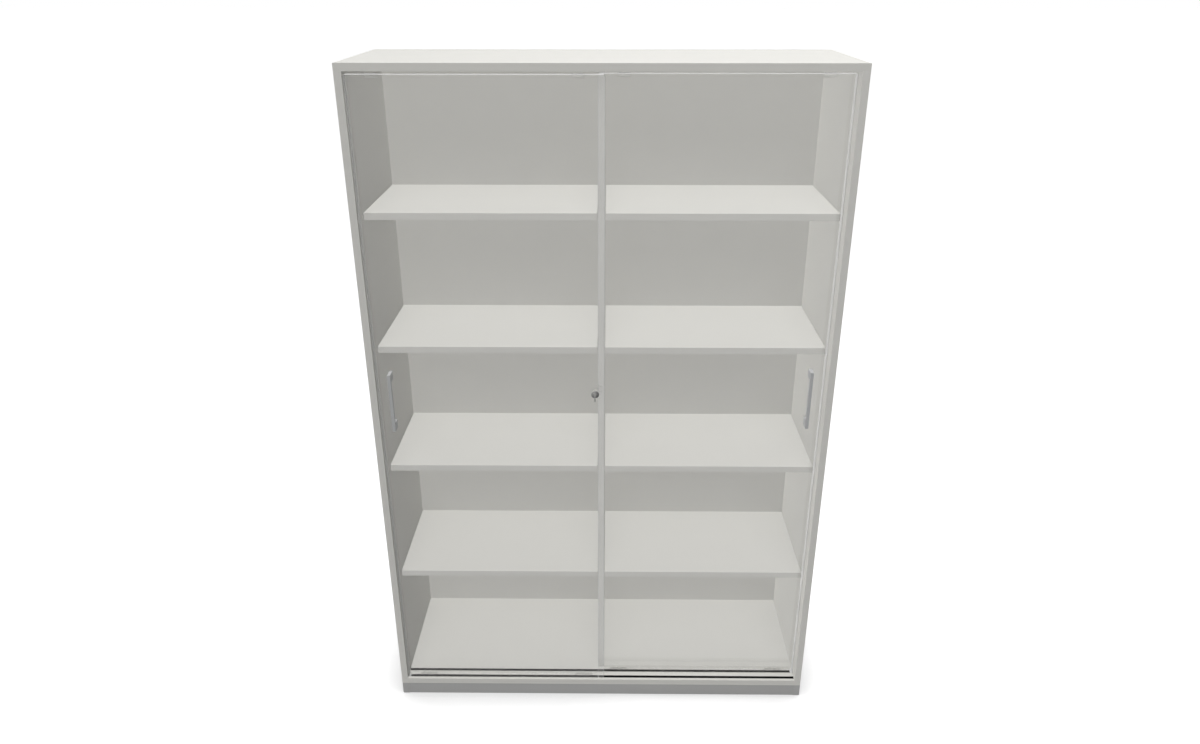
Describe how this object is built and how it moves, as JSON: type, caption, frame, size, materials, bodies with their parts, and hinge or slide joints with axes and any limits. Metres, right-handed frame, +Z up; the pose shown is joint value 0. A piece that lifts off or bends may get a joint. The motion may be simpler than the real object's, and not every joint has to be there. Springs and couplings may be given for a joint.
{
  "type": "sliding door cabinet",
  "caption": "Tall open-fronted cabinet on a plinth with two see-through sliding doors, a middle divider, shelves, bow handles and a push lock with key.",
  "frame": {"origin": "on the floor, at the middle of the cabinet's width and depth, under the plinth's centre rail", "axes": "+X to the right seen from the front, +Y from the front to the back, +Z up"},
  "size_m": [1.2, 0.427, 1.818],
  "materials": {
    "white_melamine": "satin white melamine on chipboard",
    "plinth_laminate": "matt grey laminate on chipboard",
    "clear_acrylic": "clear polished acrylic",
    "black_plastic": "matt black",
    "clear_polycarbonate": "clear, moulded",
    "silver_lacquer": "satin silver lacquer",
    "nickel_plated_steel": "polished nickel plate",
    "zinc_plated_steel": "zinc plate"
  },
  "bodies": {
    "carcass": {"back_panel": "white_melamine", "bottom_channel_front": "black_plastic", "bottom_channel_rear": "black_plastic", "bottom_panel": "white_melamine", "divider": "white_melamine", "door_left_stop": "black_plastic", "door_right_stop": "black_plastic", "plinth_angle_back_left": "zinc_plated_steel", "plinth_angle_back_right": "zinc_plated_steel", "plinth_angle_front_left": "zinc_plated_steel", "plinth_angle_front_right": "zinc_plated_steel", "plinth_angle_side_left": "zinc_plated_steel", "plinth_angle_side_right": "zinc_plated_steel", "plinth_back": "plinth_laminate", "plinth_centre": "plinth_laminate", "plinth_front": "plinth_laminate", "plinth_side_left": "plinth_laminate", "plinth_side_right": "plinth_laminate", "shelf_left_1": "white_melamine", "shelf_left_2": "white_melamine", "shelf_left_3": "white_melamine", "shelf_left_4": "white_melamine", "shelf_right_1": "white_melamine", "shelf_right_2": "white_melamine", "shelf_right_3": "white_melamine", "shelf_right_4": "white_melamine", "side_panel_left": "white_melamine", "side_panel_right": "white_melamine", "top_channel_front": "black_plastic", "top_channel_rear": "black_plastic", "top_panel": "white_melamine"},
    "left_door": {"door_left": "clear_acrylic", "door_left_glide_1": "clear_polycarbonate", "door_left_glide_2": "clear_polycarbonate", "door_left_guide_1": "clear_polycarbonate", "door_left_guide_2": "clear_polycarbonate", "handle_left": "silver_lacquer", "handle_left_screw_1": "clear_polycarbonate", "handle_left_screw_2": "clear_polycarbonate", "lock_sleeve": "nickel_plated_steel"},
    "right_door": {"door_right": "clear_acrylic", "door_right_glide_1": "clear_polycarbonate", "door_right_glide_2": "clear_polycarbonate", "door_right_guide_1": "clear_polycarbonate", "door_right_guide_2": "clear_polycarbonate", "handle_right": "silver_lacquer", "handle_right_screw_1": "clear_polycarbonate", "handle_right_screw_2": "clear_polycarbonate", "strike_plate": "zinc_plated_steel", "strike_screw_1": "zinc_plated_steel", "strike_screw_2": "zinc_plated_steel"},
    "barrel": {"lock_barrel": "nickel_plated_steel", "lock_bolt": "zinc_plated_steel", "lock_spring": "zinc_plated_steel"},
    "plug": {"lock_plug": "nickel_plated_steel"},
    "key": {"lock_key": "nickel_plated_steel"}
  },
  "joints": [
    {"name": "left_door_slide", "type": "slide", "parent": "carcass", "child": "left_door", "axis": [1, 0, 0], "range_m": [0, 0.515]},
    {"name": "right_door_slide", "type": "slide", "parent": "carcass", "child": "right_door", "axis": [1, 0, 0], "range_m": [-0.515, 0]},
    {"name": "lock_push", "type": "slide", "parent": "left_door", "child": "barrel", "axis": [0, 1, 0], "range_m": [0, 0.0065], "stiffness_N_per_m": 600, "springref_m": -0.005, "deforming": ["lock_spring"]},
    {"name": "key_turn", "type": "hinge", "parent": "barrel", "child": "plug", "pos_m": [-0.0155, -0.2045, 1.002], "axis": [0, 1, 0], "range_deg": [0, 90]},
    {"name": "key_pull", "type": "slide", "parent": "plug", "child": "key", "axis": [0, -1, 0], "range_m": [0, 0.013]}
  ]
}
